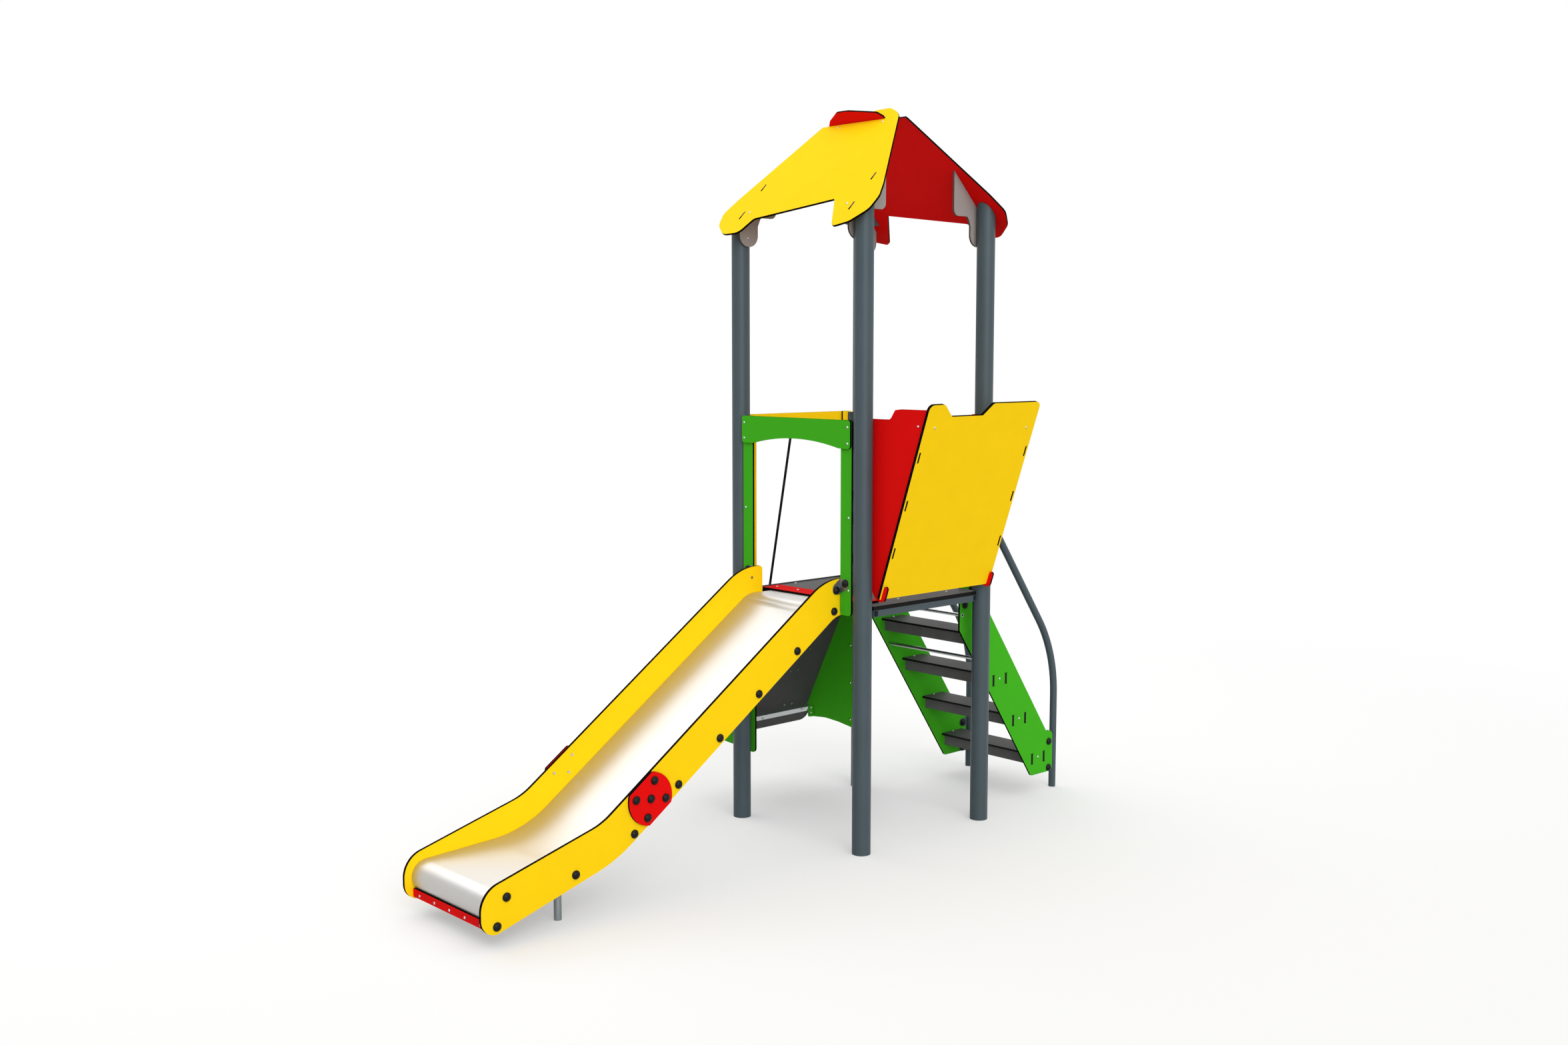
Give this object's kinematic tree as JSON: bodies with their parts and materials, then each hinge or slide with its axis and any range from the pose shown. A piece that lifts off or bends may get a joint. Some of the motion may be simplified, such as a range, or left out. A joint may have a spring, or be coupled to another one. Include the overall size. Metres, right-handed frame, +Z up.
{
  "type": "play tower with straight slide",
  "caption": "Play tower: straight steel slide between yellow sides, roofed platform, stairs with handrails, climbing ramp with rope, leaning lookout.",
  "frame": {"origin": "centre of the square of four posts, on the ground", "axes": "+Z up; -Y towards the foot of the slide, +Y towards the stairs; +X towards the leaning lookout, -X towards the climbing ramp"},
  "size_m": [2.1109, 4.6601, 4.5168],
  "materials": {
    "post_grey": "satin",
    "galvanised": "satin",
    "dark_board": "matte",
    "red_panel": "satin",
    "yellow_panel": "satin",
    "green_panel": "satin",
    "grey_panel": "satin",
    "stainless": "satin",
    "screw_steel": "satin",
    "black_plastic": "gloss",
    "rope": "matte",
    "sleeve": "satin"
  },
  "bodies": {
    "root": {"post_front_left": "post_grey", "post_front_right": "post_grey", "post_back_left": "post_grey", "post_back_right": "post_grey", "post_foot_discs": "galvanised", "platform_deck": "dark_board", "platform_frame": "post_grey", "platform_joists": "post_grey", "platform_screws": "screw_steel", "entry_strip": "red_panel", "slide_side_left": "yellow_panel", "slide_side_right": "yellow_panel", "slide_chute": "stainless", "slide_discs": "red_panel", "slide_caps": "black_plastic", "slide_cap_bolts": "screw_steel", "slide_links": "stainless", "nose_strip": "red_panel", "nose_tube": "galvanised", "slide_legs": "galvanised", "gate_rail": "green_panel", "gate_upright_left": "green_panel", "gate_upright_right": "green_panel", "ramp_rail": "yellow_panel", "ramp_uprights": "yellow_panel", "rail_fixings": "screw_steel", "ramp_board": "dark_board", "ramp_holds": "red_panel", "ramp_hold_bolts": "screw_steel", "ramp_angle_bar": "galvanised", "ramp_tabs": "green_panel", "ramp_screws": "screw_steel", "ramp_cheek_front": "green_panel", "ramp_cheek_back": "green_panel", "cheek_screws": "screw_steel", "climbing_rope": "rope", "rope_sleeves": "sleeve", "rope_forks": "galvanised", "lookout_panel": "yellow_panel", "look_cheek_front": "red_panel", "look_cheek_back": "red_panel", "look_brackets": "galvanised", "roof_panel_front": "yellow_panel", "roof_panel_back": "red_panel", "gussets_front": "grey_panel", "gussets_back": "grey_panel", "roof_angles": "galvanised", "roof_screws": "screw_steel", "frame_caps": "black_plastic", "frame_bolts": "screw_steel", "stringer_left": "green_panel", "stringer_right": "green_panel", "stair_rods": "stainless", "tread_tops": "dark_board", "tread_plates": "dark_board", "tread_blocks": "black_plastic", "stair_screws": "screw_steel", "stair_brackets": "galvanised", "handrail_left": "post_grey", "handrail_right": "post_grey"}
  },
  "joints": []
}
